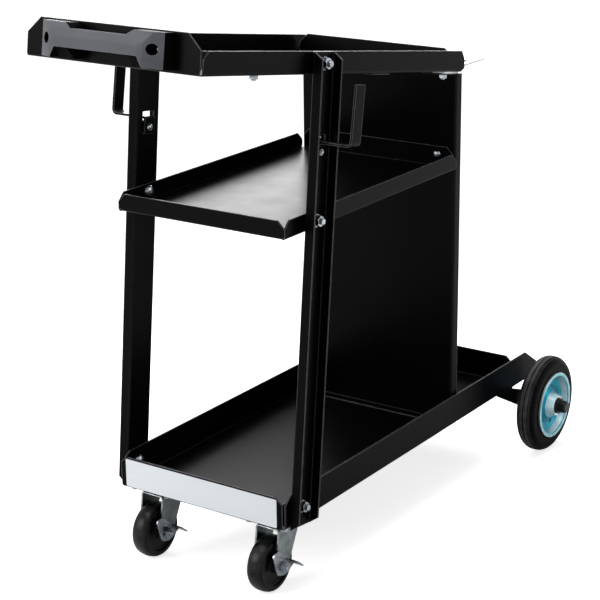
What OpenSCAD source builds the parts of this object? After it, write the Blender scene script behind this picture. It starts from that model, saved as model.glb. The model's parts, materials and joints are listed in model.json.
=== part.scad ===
// Three-tier welding cart: a machine tray that slopes down to the rear, a wire shelf and a
// cylinder bay, on two large rear wheels and two braked swivel casters.
// Millimetres, +X right, +Y rear, +Z up, origin on the ground under the middle of the cart.

/* [Sheet metal] */
// Outer width of the top tray and the shelf
tray_w = 266; // [230:1:320]
// Thickness of the sheet steel
sheet_t = 2; // [1.5:0.1:3]
// Inside radius of the folded edges
fold_in = 1; // [0.5:0.1:2]
// Setback of a side wall's front edge from the tray's front
corner_slit = 2.5; // [2:0.5:4]
// Length of the tabs that join a front wall to the side walls
tab_l = 12; // [8:1:14]

/* [Bottom tray] */
// Height of the tray's underside above the ground
ride_h = 102; // [94:1:120]
// Length of the tray's floor
base_l = 640; // [580:1:720]
// Height of the tray's walls
base_h = 45; // [40:1:60]
// Length of the side walls behind the tray's floor
base_ear_l = 67; // [50:1:90]
// Bare label plate: height
label_h = 40; // [25:1:42]
// Bare label plate: distance from each side of the tray
label_inset = 10.5; // [8:0.5:30]

/* [Top tray] */
// Length of the tray's floor
top_l = 584; // [540:1:640]
// Slope of the tray down to the rear, in degrees
top_tilt = 8.8; // [5:0.1:12]
// How far the tray's front edge stands in front of the bottom tray
top_overhang = 144; // [100:1:160]
// Height of the tray's front edge above the bottom tray's underside
top_rise = 619.5; // [560:0.5:680]
// Height of the front wall
top_front_h = 48; // [46:1:60]
// Height of the side walls
top_side_h = 29; // [26:1:40]
// Height of the rear wall
top_rear_h = 31.5; // [24:0.5:50]
// Length of the side walls behind the tray's floor
top_ear_l = 28; // [12:1:40]
// Width of the stiffening strip under the floor
stiffener_w = 40; // [20:1:60]
// Distance of the strip from the tray's front edge
stiffener_s = 374; // [300:1:420]

/* [Middle shelf] */
// Height of the shelf's underside above the bottom tray's underside
shelf_rise = 388; // [340:1:420]
// Distance of the shelf's front edge behind the bottom tray's front
shelf_setback = 16; // [10:0.5:25]
// Height of the front and side walls
shelf_h = 24; // [20:1:32]
// Height of the rear wall
shelf_rear_h = 31; // [28:1:45]

/* [Back panel] */
// Distance of the panel's front face behind the rear wall of the top tray
panel_setback = 11; // [8:0.5:16]
// Depth of the panel's side flanges
panel_flange = 15.5; // [10:0.5:20]
// Length of the foot that lies on the bottom tray's floor
panel_foot = 15; // [10:1:30]
// Length of the head that lies under the top tray's floor
panel_head = 33; // [31:1:45]

/* [Uprights] */
// Width of an upright, front to back
upright_d = 46; // [38:1:50]
// Depth of an upright, from its web to the edge of its flanges
upright_w = 15; // [14:0.5:20]
// Lean of the uprights to the rear, in degrees
upright_lean = 6; // [4:0.1:8]
// Distance of an upright's front edge behind the bottom tray's front
upright_y = 13; // [11:0.5:20]
// How far an upright reaches below the bottom tray's underside
upright_drop = 3; // [0:0.5:4]
// Thickness of the spacers between the uprights and the two upper trays
spacer_t = 3; // [1.5:0.5:6]

/* [Handle] */
// Overall width of the handle
handle_w = 183; // [150:1:220]
// Width of the straight front of the grip
grip_front_w = 137; // [110:1:145]
// Distance of the grip's front from the tray
handle_d = 30.5; // [28:0.5:40]
// Front-to-back thickness of the grip
grip_t = 15.5; // [12:0.5:17]
// Height of the handle's end blocks
handle_h = 43; // [38:1:43]
// Height of the grip bar
grip_h = 22.5; // [18:0.5:26]
// Width of the opening behind the grip
grip_gap_w = 90; // [80:1:100]

/* [Cylinder cradle] */
// Thickness of the cradle plate
cradle_t = 2.5; // [2:0.5:4]
// How far the prongs reach behind the back panel
cradle_reach = 88.5; // [80:0.5:110]
// Height of the plate above the rear edge of the tray's underside
cradle_step = 5; // [4:0.5:8]
// Width of a prong at its tip
prong_w = 16; // [14:1:22]
// Radius of the trough that the cylinder leans in
trough_r = 143; // [120:1:180]
// Diameter of the chain hole in each prong
chain_hole_d = 9; // [7:0.5:10]
// Width of the slot that locks the chain
chain_slot_w = 4.5; // [3:0.5:6]

/* [Cable hooks] */
// Width of the strap that each hook is bent from
strap_w = 20; // [16:1:24]
// Thickness of the strap
strap_t = 3; // [2:0.5:4]
// How far a hook reaches out from the upright's web
hook_reach = 55; // [45:1:70]
// Height of the hook's outer leg
hook_h = 78; // [50:1:100]
// Height of the hook along the upright
hook_rise = 503; // [470:1:520]
// Lean of the hook to the rear, in degrees
hook_lean = 9.5; // [6.5:0.1:11]

/* [Rear wheels] */
// Diameter of a tyre
wheel_d = 150; // [130:1:170]
// Width of a tyre
tyre_w = 30; // [28:1:40]
// Diameter of the rim inside the tyre
rim_d = 98; // [90:1:106]
// Gap between a side wall and the tyre
tyre_gap = 27; // [20:1:35]
// Diameter of the axle
axle_d = 12; // [10:0.5:16]
// Distance of the axle behind the rear wall of the bottom tray
axle_back = 17; // [12:1:30]
// Number of holes in a rim
rim_holes = 5; // [3:1:6]

/* [Casters] */
// Diameter of a caster wheel
caster_d = 77; // [65:1:80]
// Width of a caster wheel's tread
caster_tread_w = 25; // [20:1:27]
// Distance of each caster from the middle of the cart
caster_x = 97; // [75:1:98]
// Distance of the swivel axis behind the front of the bottom tray
caster_y = 41; // [37:1:60]
// Distance from the swivel axis to the wheel's axle
caster_trail = 19; // [12:1:24]
// Outer width of the caster fork
fork_w = 38; // [36:1:44]
// Width of the mounting plate, side to side
caster_plate_w = 70; // [64:1:72]
// Length of the mounting plate, front to back
caster_plate_l = 60; // [54:1:70]
// Length of the brake pedal
pedal_l = 18; // [12:1:26]

/* [Fits] */
// Running clearance round a pin or an axle, on the radius
run_gap = 0.05; // [0.03:0.01:0.1]
// Clearance at the side of a piece that turns
side_gap = 0.4; // [0.3:0.05:0.8]
// Clearance of a bolt in its hole, on the radius
bolt_gap = 0.2; // [0.1:0.05:0.4]
// Clearance between the back panel and the side walls
panel_gap = 0.5; // [0.3:0.1:1]

/* [Hidden] */
$fn = 48;

// Finishes
black = "#1b1c1e";
grey = "#6f7377";
zinc = "#c9ced2";
rim_blue = "#b7cdd6";
rubber = "#222224";
silver = "#d8dadc";

// Half sizes and folds
half_w = tray_w / 2;
base_half = half_w + spacer_t;
fold_r = sheet_t + fold_in;
fold_lap = 1;
web_out = base_half + sheet_t;
long = 2000;

// Rear axle, in cart coordinates: Y from the bottom tray's front, Z from its underside
wheel_r = wheel_d / 2;
axle = [base_l + axle_back, wheel_r - ride_h];
boss_r = axle_d / 2 + 7;
axle_washer_t = 2.5;
axle_washer_r = axle_d / 2 + 6;
tyre_in = base_half + tyre_gap;
tyre_out = tyre_in + tyre_w;
hub_in = base_half + axle_washer_t + side_gap;
lip_out = 3.4;
boss_out = 5;
hub_out = tyre_out + lip_out + boss_out;
hub_r = axle_d / 2 + 6;
cap_in = hub_out + side_gap;
cap_l = 15;
cap_r = axle_d / 2 + 3.7;
axle_end = cap_in + cap_l - 4;

// Back panel
panel_y = from_tray([top_l, 0]).x + panel_setback;
panel_back = panel_y + sheet_t;
panel_w = tray_w - 2 * sheet_t - 2 * panel_gap;

// Middle of the cart, front to back: the grip's front and the rear tyres' rear
handle_low = 4;
handle_round = 3;
front_y = -top_overhang - (handle_d - handle_round) * cos(top_tilt)
    + (handle_low + handle_round) * sin(top_tilt) - handle_round;
mid_y = (front_y + axle.x + wheel_r) / 2;

// M8, M6 and M5 fasteners: [shank, head diameter, head height, nut across flats, nut height,
// washer diameter, washer thickness]
m8 = [8, 19, 4.4, 13, 6.5, 17, 1.6];
m6 = [6, 12, 3, 10, 5, 12, 1.2];
m5 = [5, 10, 2.6, 8, 4, 10, 1];
thread_out = 4;

// ---- Places ----

// Cart coordinates start at the front lower edge of the bottom tray
module place() translate([0, -mid_y, ride_h]) children();

// Top tray coordinates: Y along the floor from its front edge, Z square to it
module in_tray() place() translate([0, -top_overhang, top_rise]) rotate([-top_tilt, 0, 0]) children();

// Upright coordinates: Y across the web from its front edge, Z along it
module in_upright() place() translate([0, upright_y, 0]) rotate([-upright_lean, 0, 0]) children();

// A [Y, Z] point of cart coordinates in top tray coordinates, and the way back
function to_tray(p) = let (d = p - [-top_overhang, top_rise])
    [d.x * cos(top_tilt) - d.y * sin(top_tilt), d.x * sin(top_tilt) + d.y * cos(top_tilt)];
function from_tray(p) = [-top_overhang + p.x * cos(top_tilt) + p.y * sin(top_tilt),
                         top_rise - p.x * sin(top_tilt) + p.y * cos(top_tilt)];

// A [Y, Z] point on the centre line of the uprights, at length u along them
function on_upright(u) = [upright_y + upright_d / 2 * cos(upright_lean) + u * sin(upright_lean),
                          u * cos(upright_lean) - upright_d / 2 * sin(upright_lean)];
function upright_at(z) = on_upright((z + upright_d / 2 * sin(upright_lean)) / cos(upright_lean));

// The bolts of the uprights, in the middle of each tray's side wall
top_bolt_u = (top_side_h / 2 - to_tray(on_upright(0)).y)
    / (to_tray(on_upright(1)).y - to_tray(on_upright(0)).y);
upright_bolt_at = [upright_at(base_h / 2), upright_at(shelf_rise + shelf_h / 2),
                   on_upright(top_bolt_u)];

// Bolts through the shelf's rear wall and the panel, as [X, Z]
shelf_bolt_at = [for (side = [-1, 1]) [side * (half_w - 31), shelf_rise + 18.5]];

// Bolts through the top tray's floor, as [X, distance from the front edge]
tray_bolt_x = half_w - 11;
tray_front_bolt_s = 118;
tray_rear_bolt_s = top_l - 11;

// Distance along the top tray at which the panel's front face meets its underside
function panel_s() = (panel_y + top_overhang) / cos(top_tilt);

// ---- Outlines ----

function unit(v) = v / norm(v);

function arc(c, r, from, to, n = 6) =
    [for (i = [0:n]) let (a = from + (to - from) * i / n) c + r * [cos(a), sin(a)]];

// The arc of radius r that rounds corner b between a and c
function corner(a, b, c, r, n = 5) = r == 0 ? [b] :
    let (u = unit(a - b), v = unit(c - b), half = acos(max(-1, min(1, u * v))) / 2,
         o = b + unit(u + v) * r / sin(half),
         p = b + u * r / tan(half) - o, q = b + v * r / tan(half) - o,
         start = atan2(p.y, p.x), turn = (cross(p, q) > 0 ? 1 : -1) * (180 - 2 * half))
    arc(o, r, start, start + turn, n);

// An outline of [x, y, r] points with each corner rounded to its r, or sharp without one
function rounded(pts, n = 5) = let (k = len(pts), at = function (i) [pts[i % k].x, pts[i % k].y])
    [for (i = [0:k - 1]) each corner(at(i + k - 1), at(i), at(i + 1),
                                     len(pts[i]) == 3 ? pts[i].z : 0, n)];

// A strip of constant depth t below the points of a line
function strip(pts, t) =
    concat(pts, [for (i = [len(pts) - 1:-1:0]) pts[i] - [0, t]]);

// Angle from c at which the line from p touches the circle of radius r, on one side
function touch(p, c, r, side) =
    atan2(p.y - c.y, p.x - c.x) + side * acos(r / norm(p - c));

// Extrusions of [Y, Z] outlines about X = 0 and of [X, Z] outlines from Y = 0
module along_x(w) rotate([90, 0, 90]) linear_extrude(w, center = true) children();
module along_y(l) translate([0, l, 0]) rotate([90, 0, 0]) linear_extrude(l) children();

// Copies a piece to both sides of the cart
module both_sides() {
    children();
    mirror([1, 0, 0]) children();
}

// ---- Folded trays ----

// Section of a folded edge: a wall of height h whose fold runs into a foot of length d
module fold_section(h, d) polygon(concat(
    [[0, h]], arc([fold_r, fold_r], fold_r, 180, 270), [[d, 0], [d, sheet_t]],
    arc([fold_r, fold_r], fold_in, 270, 180), [[sheet_t, h]]));

// End wall, seen from the front, with its top corners cut off by cut = [across, down]
function end_outline(w, h, cut) =
    [[-w / 2, fold_r], [w / 2, fold_r], [w / 2, h - cut.y], [w / 2 - cut.x, h],
     [-w / 2 + cut.x, h], [-w / 2, h - cut.y]];

// End wall with the fold that joins it to the floor; fold_w is the length of the fold
module end_wall(w, h, cut, fold_w) {
    along_y(sheet_t) polygon(end_outline(w, h, cut));
    along_x(fold_w) fold_section(fold_r + fold_lap, fold_r + fold_lap);
}

// Side wall at -X: folded up from the floor as far as fold_end, a plain plate behind it
module side_wall(half, outline, h, fold_end) intersection() {
    along_x(4 * half) polygon(outline);
    union() {
        along_y(fold_end) translate([-half, 0]) fold_section(h, fold_r + fold_lap);
        translate([-half, fold_end, -long / 2]) cube([sheet_t, long, long]);
    }
}

// Tray with a floor of w by l. The end walls are given by height and corner cut. A front wall
// with an inset has tabs that lie inside the side walls
module folded_tray(w, l, inset, front_h, front_cut, rear_h, rear_cut, side_outline, side_h, fold_end) {
    rear_w = w - 12;
    tab_low = fold_r + 5;
    translate([-w / 2 + fold_r, fold_r, 0]) cube([w - 2 * fold_r, l - 2 * fold_r, sheet_t]);
    if (fold_end < l) {
        translate([-w / 2 + sheet_t, fold_end, 0])
            cube([w - 2 * sheet_t, l - fold_end - fold_r, sheet_t]);
    }
    end_wall(w - 2 * inset, front_h, front_cut, w - 2 * fold_r);
    translate([0, l, 0]) mirror([0, 1, 0]) end_wall(rear_w, rear_h, rear_cut, rear_w);
    both_sides() {
        side_wall(w / 2, side_outline, side_h, fold_end);
        if (inset > 0) translate([-w / 2 + sheet_t, 0, tab_low])
            cube([sheet_t, tab_l, min(side_h, front_h - front_cut.y) - tab_low]);
    }
}

// ---- Fasteners, standing on Z = 0 with the shank going down ----

module dome_bolt(size, l) {
    shank_r = size[0] / 2;
    tip = 0.6;
    rotate_extrude() polygon(concat(
        [[0, -l], [shank_r - tip, -l], [shank_r, -l + tip], [shank_r, 0], [size[1] / 2, 0]],
        [for (a = [0:15:90]) [size[1] / 2 * cos(a), size[2] * sin(a)]]));
}

module hex_nut(size) {
    bevel = 0.7;
    top_r = size[3] / 2;
    difference() {
        intersection() {
            cylinder(d = size[3] / cos(30), h = size[4], $fn = 6);
            rotate_extrude() polygon([[0, 0], [size[3] / 2 / cos(30), 0],
                [size[3] / 2 / cos(30), size[4] - bevel], [top_r, size[4]], [0, size[4]]]);
        }
        translate([0, 0, -1]) cylinder(r = size[0] / 2 + run_gap, h = size[4] + 2);
    }
}

module washer(size) difference() {
    cylinder(d = size[5], h = size[6]);
    translate([0, 0, -1]) cylinder(r = size[0] / 2 + bolt_gap, h = size[6] + 2);
}

// Hole along X through both side walls at each [Y, Z] point
module side_holes(points, d) for (p = points) {
    translate([0, p.x, p.y]) rotate([0, 90, 0]) cylinder(d = d, h = long, center = true);
}

// ---- Bottom tray ----

// A side wall with its ear and the arm that carries the axle
base_slit = corner_slit + 3;
arm_front = [base_l - 62, 0];
arm_rear = [base_l - 13, -2];
base_ear = base_l + base_ear_l;
base_side = concat(
    [[base_slit, 0], arm_front],
    arc(axle, boss_r, touch(arm_front, axle, boss_r, 1), touch(arm_rear, axle, boss_r, -1) + 360, 20),
    [arm_rear, [arm_rear.x + 2, 0], [base_ear - 6, 0], [base_ear, 6],
     [base_ear, base_h - 25], [base_ear - 38, base_h],
     [base_slit + 13, base_h], [base_slit, base_h - 11]]);

module bottom_tray() color(black) place() difference() {
    folded_tray(2 * base_half, base_l, sheet_t, base_h, [12, 8], base_h, [12, 12],
                base_side, base_h, arm_front.x);
    side_holes([upright_bolt_at[0]], m8[0] + 2 * bolt_gap);
    side_holes([axle], axle_d + 2 * bolt_gap);
    for (side = [-1, 1]) caster_bolt_holes(side);
}

// Thin bare plate on the front wall
label_t = 0.6;
module label_plate() color(silver) place() translate([0, -label_t, base_h - 2.5 - label_h])
    along_y(label_t) polygon(rounded([
        [-base_half + label_inset, 0, 2], [base_half - label_inset, 0, 2],
        [base_half - label_inset, label_h, 2], [-base_half + label_inset, label_h, 2]]));

// ---- Uprights: channels that open outward ----

module upright_section() {
    flange = [upright_d, upright_w];
    polygon(concat(
        [[base_half + flange.y, 0]],
        arc([base_half + fold_r, fold_r], fold_r, 270, 180),
        arc([base_half + fold_r, flange.x - fold_r], fold_r, 180, 90),
        [[base_half + flange.y, flange.x]],
        [[base_half + flange.y, flange.x - sheet_t]],
        arc([base_half + fold_r, flange.x - fold_r], fold_in, 90, 180),
        arc([base_half + fold_r, fold_r], fold_in, 180, 270), [[base_half + flange.y, sheet_t]]));
}

// Window in the web for the hook's strap
window_w = strap_w + 4;
window_low = 2;
window_high = strap_t + 7;

module upright() {
    bevel = [upright_w - 2.5, 9];
    edge = base_half + upright_w;
    difference() {
        intersection() {
            // the channel, with the corners of its flanges cut at the foot
            in_upright() intersection() {
                translate([0, 0, -upright_drop]) linear_extrude(long) upright_section();
                along_y(upright_d) polygon([
                    [base_half - 1, -upright_drop], [edge - bevel.x, -upright_drop],
                    [edge, bevel.y - upright_drop], [edge, long], [base_half - 1, long]]);
            }
            // and flush with the top tray's side wall at the head
            in_tray() translate([0, -long / 2, 0]) along_y(2 * long) polygon([
                [base_half - 1, -long], [edge, -long], [edge, top_side_h - bevel.y],
                [edge - bevel.x, top_side_h], [base_half - 1, top_side_h]]);
        }
        place() side_holes(upright_bolt_at, m8[0] + 2 * bolt_gap);
        in_upright() translate([base_half - 1, (upright_d - window_w) / 2, hook_rise - window_low])
            cube([sheet_t + 2, window_w, window_low + window_high]);
        in_hook() translate([0, 0, hook_bolt_z]) rotate([0, 90, 0])
            cylinder(d = m5[0] + 2 * bolt_gap, h = long);
    }
}

module right_upright() color(black) upright();
module left_upright() color(black) mirror([1, 0, 0]) upright();

// ---- Middle shelf ----

shelf_l = panel_y - shelf_setback;
shelf_side = [[0.2, 0], [shelf_l - 11.5, 0], [shelf_l - 1, 3],
              [shelf_l - 1, shelf_h - 11], [shelf_l - 12.5, shelf_h],
              [11, shelf_h], [0.2, shelf_h - 11]];

module middle_shelf() color(black) difference() {
    place() translate([0, shelf_setback, shelf_rise])
        folded_tray(tray_w, shelf_l, 0, shelf_h, [11, 11], shelf_rear_h, [9, 9],
                    shelf_side, shelf_h, shelf_l);
    place() side_holes([upright_bolt_at[1]], m8[0] + 2 * bolt_gap);
    shelf_bolt_holes();
}

module shelf_bolt_holes() place() for (p = shelf_bolt_at) {
    translate([p.x, panel_y, p.y]) rotate([90, 0, 0])
        cylinder(d = m6[0] + 2 * bolt_gap, h = 40, center = true);
}

// ---- Back panel ----

module back_panel() color(black) difference() {
    union() {
        // the panel and its side flanges, up to the cradle's tongue
        intersection() {
            place() translate([0, panel_y, sheet_t + fold_r]) linear_extrude(long) {
                both_halves() translate([-panel_w / 2, 0]) fold_section(panel_flange, panel_w / 2 + 1);
            }
            in_tray() translate([-long / 2, -long / 2, -cradle_t - long]) cube([long, 2 * long, long]);
        }
        // the foot on the bottom tray's floor
        place() translate([0, panel_back, sheet_t]) mirror([0, 1, 0])
            along_x(panel_w - 2 * fold_r) fold_section(fold_r + fold_lap, panel_foot + sheet_t);
        // the head under the top tray
        intersection() {
            in_tray() translate([-panel_w / 2 + fold_r, panel_s() - panel_head, -cradle_t - sheet_t])
                cube([panel_w - 2 * fold_r, 2 * panel_head, sheet_t]);
            place() translate([-long / 2, panel_back - long, 0]) cube([long, long, long]);
        }
    }
    shelf_bolt_holes();
    tray_bolt_holes();
}

module both_halves() {
    children();
    mirror([1, 0]) children();
}

// ---- Top tray ----

top_ear = top_l + top_ear_l;
top_side = [[corner_slit, 0], [top_ear - 9, 0], [top_ear, 5], [top_ear, top_side_h - 13],
            [top_ear - 11, top_side_h], [corner_slit + 10, top_side_h],
            [corner_slit, top_side_h - 11]];

module top_tray() color(black) difference() {
    in_tray() folded_tray(tray_w, top_l, sheet_t, top_front_h, [20, 19], top_rear_h, [12, 12],
                          top_side, top_side_h, top_l);
    place() side_holes([upright_bolt_at[2]], m8[0] + 2 * bolt_gap);
    tray_bolt_holes();
    in_tray() for (side = [-1, 1]) {
        translate([side * handle_screw_x, 0, handle_screw_h]) rotate([90, 0, 0])
            cylinder(d = m6[0] + 2 * bolt_gap, h = 4 * sheet_t, center = true);
    }
}

module tray_bolt_holes() in_tray() for (side = [-1, 1], s = [tray_front_bolt_s, tray_rear_bolt_s]) {
    translate([side * tray_bolt_x, s, 0]) cylinder(d = m6[0] + 2 * bolt_gap, h = 40, center = true);
}

// Flat strip across the underside of the floor
module tray_stiffener() color(black) in_tray()
    translate([-half_w + fold_r, stiffener_s, -sheet_t])
        cube([tray_w - 2 * fold_r, stiffener_w, sheet_t]);

// ---- Handle ----

handle_top = handle_low + handle_h;
grip_low = 17;
grip_top = grip_low + grip_h;
handle_screw_x = handle_w / 2 - 12;
handle_screw_h = handle_low + 22;
head_seat = -12;
head_pocket_d = 12;

// The handle in plan, seen from the front and from the side, and its grip opening
module handle() color(grey) in_tray() difference() {
    intersection() {
        linear_extrude(handle_top) polygon(rounded([
            [-handle_w / 2, 0], [-handle_w / 2, -handle_d + 13, 5],
            [-grip_front_w / 2, -handle_d, 9], [grip_front_w / 2, -handle_d, 9],
            [handle_w / 2, -handle_d + 13, 5], [handle_w / 2, 0]]));
        translate([0, -handle_d - 1, 0]) along_y(handle_d + 1) polygon(rounded([
            [-handle_w / 2, handle_low, 3], [handle_w / 2, handle_low, 3],
            [handle_w / 2, handle_top, 3], [grip_gap_w / 2 + 4, handle_top, 3],
            [grip_gap_w / 2 - 5, grip_top, 3], [-grip_gap_w / 2 + 5, grip_top, 3],
            [-grip_gap_w / 2 - 4, handle_top, 3], [-handle_w / 2, handle_top, 3]]));
        along_x(handle_w) polygon(rounded([
            [0, handle_low], [-handle_d, handle_low, handle_round], [-handle_d, grip_top - 8, 3],
            [-handle_d + 5.5, grip_top, 3], [-handle_d + 11, handle_top, 3], [0, handle_top]]));
    }
    // the gap for the fingers behind the grip
    translate([-grip_gap_w / 2, -handle_d + grip_t, 0])
        cube([grip_gap_w, handle_d - grip_t - 3, handle_top + 1]);
    // and the hollow below the grip, wider at the front
    intersection() {
        translate([0, -handle_d - 1, 0]) along_y(handle_d - 2) polygon([
            [-grip_front_w / 2 + 2.5, 0], [grip_front_w / 2 - 2.5, 0], [grip_front_w / 2 - 2.5, handle_low],
            [grip_front_w / 2 - 10.5, grip_low], [-grip_front_w / 2 + 10.5, grip_low],
            [-grip_front_w / 2 + 2.5, handle_low]]);
        linear_extrude(handle_top) polygon([
            [-grip_front_w / 2, -handle_d - 1], [grip_front_w / 2, -handle_d - 1],
            [grip_gap_w / 2, -3], [-grip_gap_w / 2, -3]]);
    }
    for (side = [-1, 1]) translate([side * handle_screw_x, 0, handle_screw_h]) rotate([90, 0, 0]) {
        translate([0, 0, -head_seat]) cylinder(d = head_pocket_d, h = handle_d);
        translate([0, 0, -1]) cylinder(r = m6[0] / 2 + bolt_gap, h = handle_d);
    }
}

module handle_screws() color(zinc) in_tray() for (side = [-1, 1]) {
    translate([side * handle_screw_x, head_seat, handle_screw_h]) rotate([90, 0, 0])
        dome_bolt([m6[0], head_pocket_d - 1.5, 3.4], sheet_t + m6[4] + 1.5 - head_seat);
}

module handle_nuts() color(zinc) in_tray() for (side = [-1, 1]) {
    translate([side * handle_screw_x, sheet_t, handle_screw_h]) rotate([-90, 0, 0]) hex_nut(m6);
}

// ---- Cylinder cradle ----

cradle_z = from_tray([top_l, 0]).y + cradle_step;
cradle_end = panel_y + cradle_reach;
cradle_x = half_w - 3;
trough_y = panel_y + 14 + trough_r;
chain_y = cradle_end - 36;
chain_x = cradle_x - prong_w / 2 - 3;

module cylinder_cradle() color(zinc) difference() {
    intersection() {
        // the plate seen from the side: a tongue under the tray, a step up and the level plate
        place() along_x(2 * cradle_x) polygon([
            from_tray([panel_s() - panel_head, 0]), from_tray([panel_s() + 4, 0]),
            [panel_y + 9.5, cradle_z], [cradle_end, cradle_z], [cradle_end, cradle_z - cradle_t],
            [panel_y + 9.5 + cradle_t / 2, cradle_z - cradle_t],
            from_tray([panel_s() + 4 + cradle_t / 2, -cradle_t]),
            from_tray([panel_s() - panel_head, -cradle_t])]);
        // the plate seen from above: two prongs with the trough between them
        place() linear_extrude(long) difference() {
            polygon(rounded([
                [-cradle_x, 0], [cradle_x, 0], [cradle_x, cradle_end - 14, 10],
                [cradle_x - 3, cradle_end, 7], [cradle_x - 3 - prong_w, cradle_end, 3],
                [cradle_x - 22, cradle_end - 26], [-cradle_x + 22, cradle_end - 26],
                [-cradle_x + 3 + prong_w, cradle_end, 3], [-cradle_x + 3, cradle_end, 7],
                [-cradle_x, cradle_end - 14, 10]]));
            translate([0, trough_y]) circle(r = trough_r, $fn = 96);
        }
    }
    // keyhole for the chain in each prong
    place() for (side = [-1, 1]) translate([side * chain_x, chain_y, 0]) {
        cylinder(d = chain_hole_d, h = long);
        translate([-chain_slot_w / 2, -24, 0]) cube([chain_slot_w, 24, long]);
    }
    tray_bolt_holes();
}

// ---- Cable hooks: a strap through the upright's web, bolted to its inner face ----

hook_foot = 20;
hook_bolt_z = -11;

module in_hook() in_upright() translate([0, upright_d / 2, hook_rise])
    rotate([-(hook_lean - upright_lean), 0, 0]) children();

module cable_hook() difference() {
    out = base_half + hook_reach;
    in_hook() translate([0, -strap_w / 2, 0]) along_y(strap_w) polygon(rounded([
        [base_half - strap_t, -hook_foot], [base_half, -hook_foot], [base_half, 0, 0.5],
        [out, 0, strap_t + 5], [out, hook_h, 1], [out - strap_t, hook_h, 1],
        [out - strap_t, strap_t, 5], [base_half - strap_t, strap_t, strap_t]]));
    in_hook() translate([0, 0, hook_bolt_z]) rotate([0, 90, 0])
        cylinder(d = m5[0] + 2 * bolt_gap, h = long);
}

module right_cable_hook() color(black) cable_hook();
module left_cable_hook() color(black) mirror([1, 0, 0]) cable_hook();

module hook_bolts() color(zinc) both_sides() in_hook()
    translate([base_half - strap_t, 0, hook_bolt_z]) rotate([0, -90, 0])
        dome_bolt(m5, strap_t + sheet_t + m5[4] + 1.5);

module hook_nuts() color(zinc) both_sides() in_hook()
    translate([web_out, 0, hook_bolt_z]) rotate([0, 90, 0]) hex_nut(m5);

// ---- Bolts of the frame ----

// Copies a fastener that stands on Z = 0 to the upright bolts, at x from the middle
module at_upright_bolts(points, x) both_sides() place() for (p = points) {
    translate([x, p.x, p.y]) rotate([0, 90, 0]) children();
}
lower_bolt_at = [upright_bolt_at[0]];
upper_bolt_at = [upright_bolt_at[1], upright_bolt_at[2]];

// Carriage bolt from the inside of a tray's wall out through the upright
module upright_bolt(half) mirror([0, 0, 1])
    dome_bolt(m8, web_out - half + sheet_t + m8[6] + m8[4] + thread_out);

module upright_bolts() color(zinc) {
    at_upright_bolts(lower_bolt_at, base_half - sheet_t) upright_bolt(base_half);
    at_upright_bolts(upper_bolt_at, half_w - sheet_t) upright_bolt(half_w);
}
module upright_washers() color(zinc) at_upright_bolts(upright_bolt_at, web_out) washer(m8);
module upright_nuts() color(zinc) at_upright_bolts(upright_bolt_at, web_out + m8[6]) hex_nut(m8);
module upright_spacers() color(zinc) at_upright_bolts(upper_bolt_at, half_w) difference() {
    cylinder(d = m8[5], h = spacer_t);
    translate([0, 0, -1]) cylinder(r = m8[0] / 2 + bolt_gap, h = spacer_t + 2);
}

module shelf_bolts() color(zinc) place() for (p = shelf_bolt_at) {
    translate([p.x, panel_y - sheet_t, p.y]) rotate([90, 0, 0]) dome_bolt(m6, 2 * sheet_t + m6[4] + 2);
}
module shelf_nuts() color(zinc) place() for (p = shelf_bolt_at) {
    translate([p.x, panel_back, p.y]) rotate([-90, 0, 0]) hex_nut(m6);
}

// Stack under the tray's floor at the front bolts and at the rear ones
tray_stack = [0, cradle_t + sheet_t];

module tray_bolts() color(zinc) in_tray() for (side = [-1, 1], end = [0, 1]) {
    translate([side * tray_bolt_x, end == 0 ? tray_front_bolt_s : tray_rear_bolt_s, sheet_t])
        dome_bolt(m6, sheet_t + tray_stack[end] + m6[4] + 2);
}
module tray_nuts() color(zinc) in_tray() for (side = [-1, 1], end = [0, 1]) {
    translate([side * tray_bolt_x, end == 0 ? tray_front_bolt_s : tray_rear_bolt_s, -tray_stack[end]])
        mirror([0, 0, 1]) hex_nut(m6);
}

// ---- Rear axle and wheels ----

// The axle's line, along +X
module on_axle() place() translate([0, axle.x, axle.y]) rotate([0, 90, 0]) children();

module rear_axle() color(zinc) on_axle() cylinder(d = axle_d, h = 2 * axle_end, center = true);

module axle_washers() color(zinc) both_sides() on_axle() translate([0, 0, base_half]) difference() {
    cylinder(r = axle_washer_r, h = axle_washer_t);
    translate([0, 0, -1]) cylinder(r = axle_d / 2 + run_gap, h = axle_washer_t + 2);
}

// Push-on cap with a collar, a domed end and a blind bore for the axle
module axle_cap() on_axle() translate([0, 0, cap_in]) difference() {
    rotate_extrude() polygon(rounded([[0, 0], [cap_r + 2.8, 0, 0.6], [cap_r + 2.8, 3.5, 1],
                                      [cap_r, 3.5], [cap_r, cap_l, 3], [0, cap_l]]));
    translate([0, 0, -1]) cylinder(r = axle_d / 2 + run_gap, h = axle_end - cap_in + 1.2);
}
module right_axle_cap() color(black) axle_cap();
module left_axle_cap() color(black) mirror([1, 0, 0]) axle_cap();

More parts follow.
